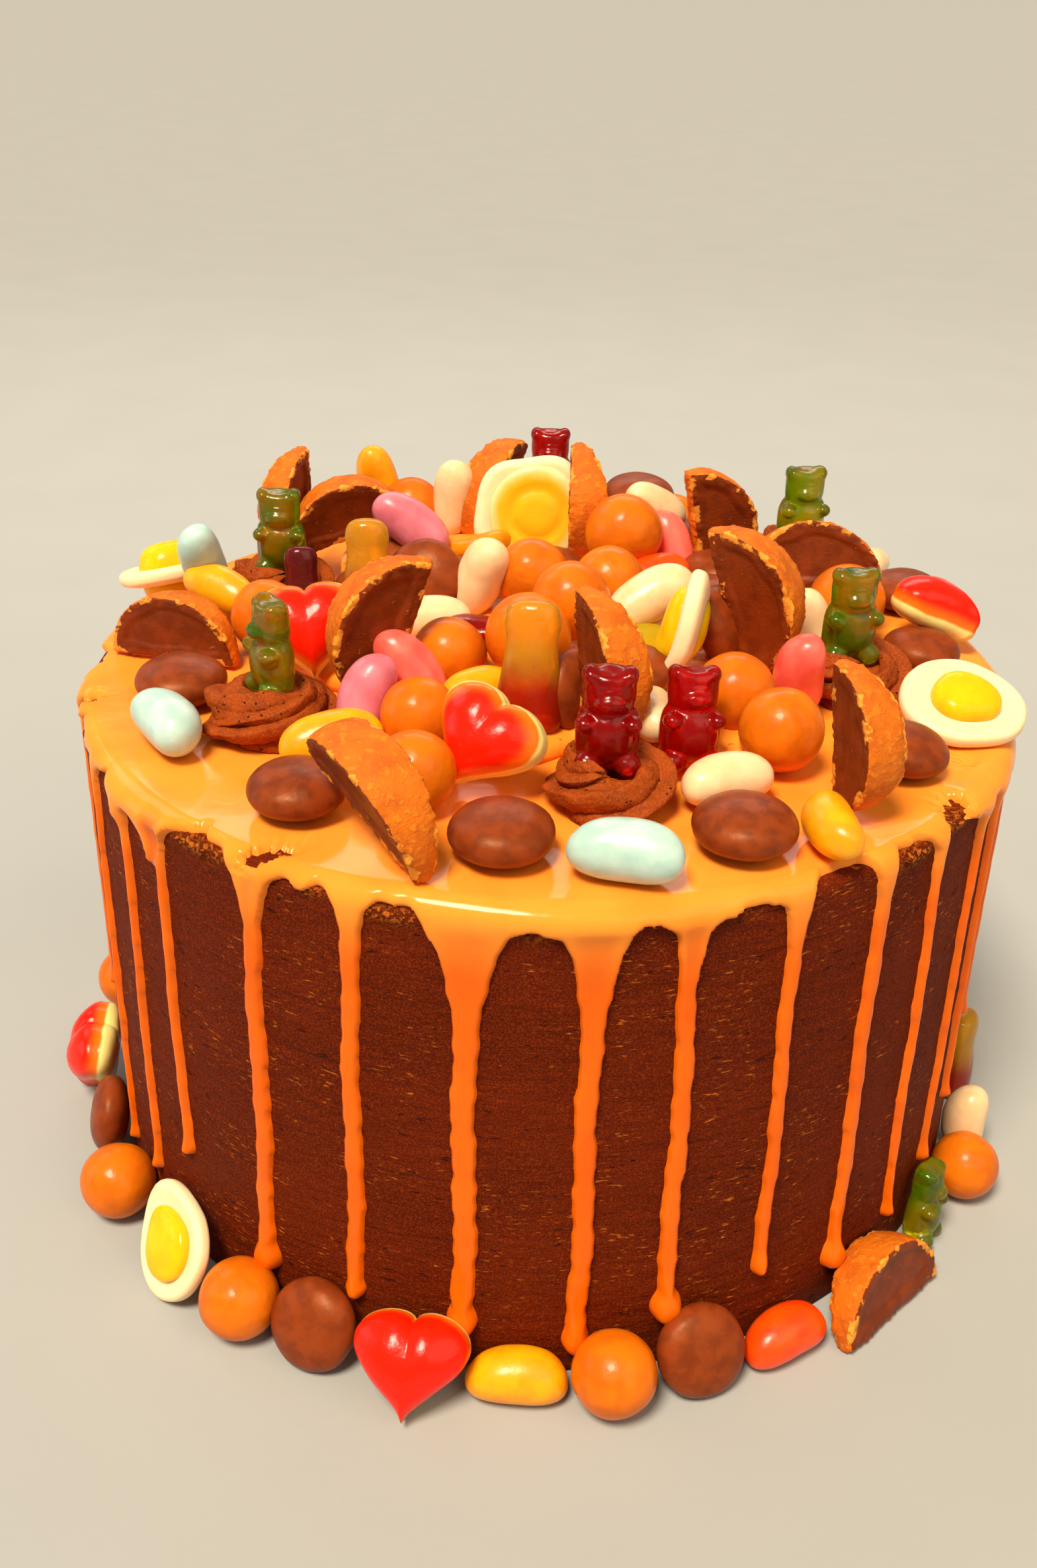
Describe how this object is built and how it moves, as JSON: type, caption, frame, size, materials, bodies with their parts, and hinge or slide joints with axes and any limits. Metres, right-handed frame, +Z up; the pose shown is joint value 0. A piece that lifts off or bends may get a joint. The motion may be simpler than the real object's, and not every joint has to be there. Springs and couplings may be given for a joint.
{
  "type": "drip cake",
  "caption": "Round chocolate-frosted cake with a caramel drip, piped swirls with gummy bears, a heap of mixed sweets on top and a border of sweets round its foot",
  "frame": {"origin": "the middle of the cake's flat underside, on the surface it rests on", "axes": "+Z up out of the cake's top, -Y the front as pictured, +X to the right seen from the front"},
  "size_m": [0.2377, 0.2432, 0.1499],
  "materials": {
    "caramel": "glossy poured caramel",
    "choc_lentil": "glazed dark chocolate",
    "choc_segment": "milk chocolate",
    "cream": "soft chocolate buttercream",
    "fried_egg_sweet": "cream foam with a yellow jelly yolk",
    "frosting": "matte chocolate frosting",
    "gummy_green": "clear green jelly",
    "gummy_heart": "red jelly on cream foam",
    "gummy_red": "clear red jelly",
    "jelly_bean_blue": "pale blue sugar shell",
    "jelly_bean_orange": "orange sugar shell",
    "jelly_bean_white": "cream white sugar shell",
    "jelly_bean_yellow": "yellow sugar shell",
    "malt_ball": "glazed milk chocolate",
    "sweets": "mixed sweets"
  },
  "bodies": {
    "root": {"bean_blue_front": "jelly_bean_blue", "bean_blue_left": "jelly_bean_blue", "bean_right_back": "jelly_bean_white", "bean_white": "jelly_bean_white", "bean_yellow": "jelly_bean_yellow", "bear_back": "gummy_red", "bear_front": "gummy_red", "bear_left": "gummy_green", "bear_left_back": "gummy_green", "bear_right": "gummy_green", "bear_right_back": "gummy_green", "border_ball_1": "malt_ball", "border_ball_2": "malt_ball", "border_ball_3": "malt_ball", "border_ball_4": "malt_ball", "border_ball_5": "malt_ball", "border_ball_6": "malt_ball", "border_ball_7": "malt_ball", "border_bean_1": "jelly_bean_yellow", "border_bean_2": "jelly_bean_orange", "border_bean_3": "jelly_bean_white", "border_bean_4": "jelly_bean_white", "border_bear_1": "gummy_green", "border_bottle_1": "gummy_red", "border_egg_1": "fried_egg_sweet", "border_egg_2": "fried_egg_sweet", "border_egg_3": "fried_egg_sweet", "border_heart_1": "gummy_heart", "border_heart_2": "gummy_heart", "border_heart_3": "gummy_heart", "border_lentil_1": "choc_lentil", "border_lentil_2": "choc_lentil", "border_lentil_3": "choc_lentil", "border_lentil_4": "choc_lentil", "border_lentil_5": "choc_lentil", "border_segment_1": "choc_segment", "border_segment_2": "choc_segment", "border_segment_3": "choc_segment", "caramel": "caramel", "egg_left": "fried_egg_sweet", "egg_right": "fried_egg_sweet", "frosting": "frosting", "heart_right": "gummy_heart", "lentil_back_right": "choc_lentil", "lentil_far_right": "choc_lentil", "lentil_front": "choc_lentil", "lentil_front_left": "choc_lentil", "lentil_front_right": "choc_lentil", "lentil_left": "choc_lentil", "lentil_right": "choc_lentil", "segment_front": "choc_segment", "segment_left": "choc_segment", "segment_right": "choc_segment", "sweet_heap": "sweets", "swirl_back": "cream", "swirl_front": "cream", "swirl_left": "cream", "swirl_left_back": "cream", "swirl_right": "cream", "swirl_right_back": "cream"}
  },
  "joints": []
}
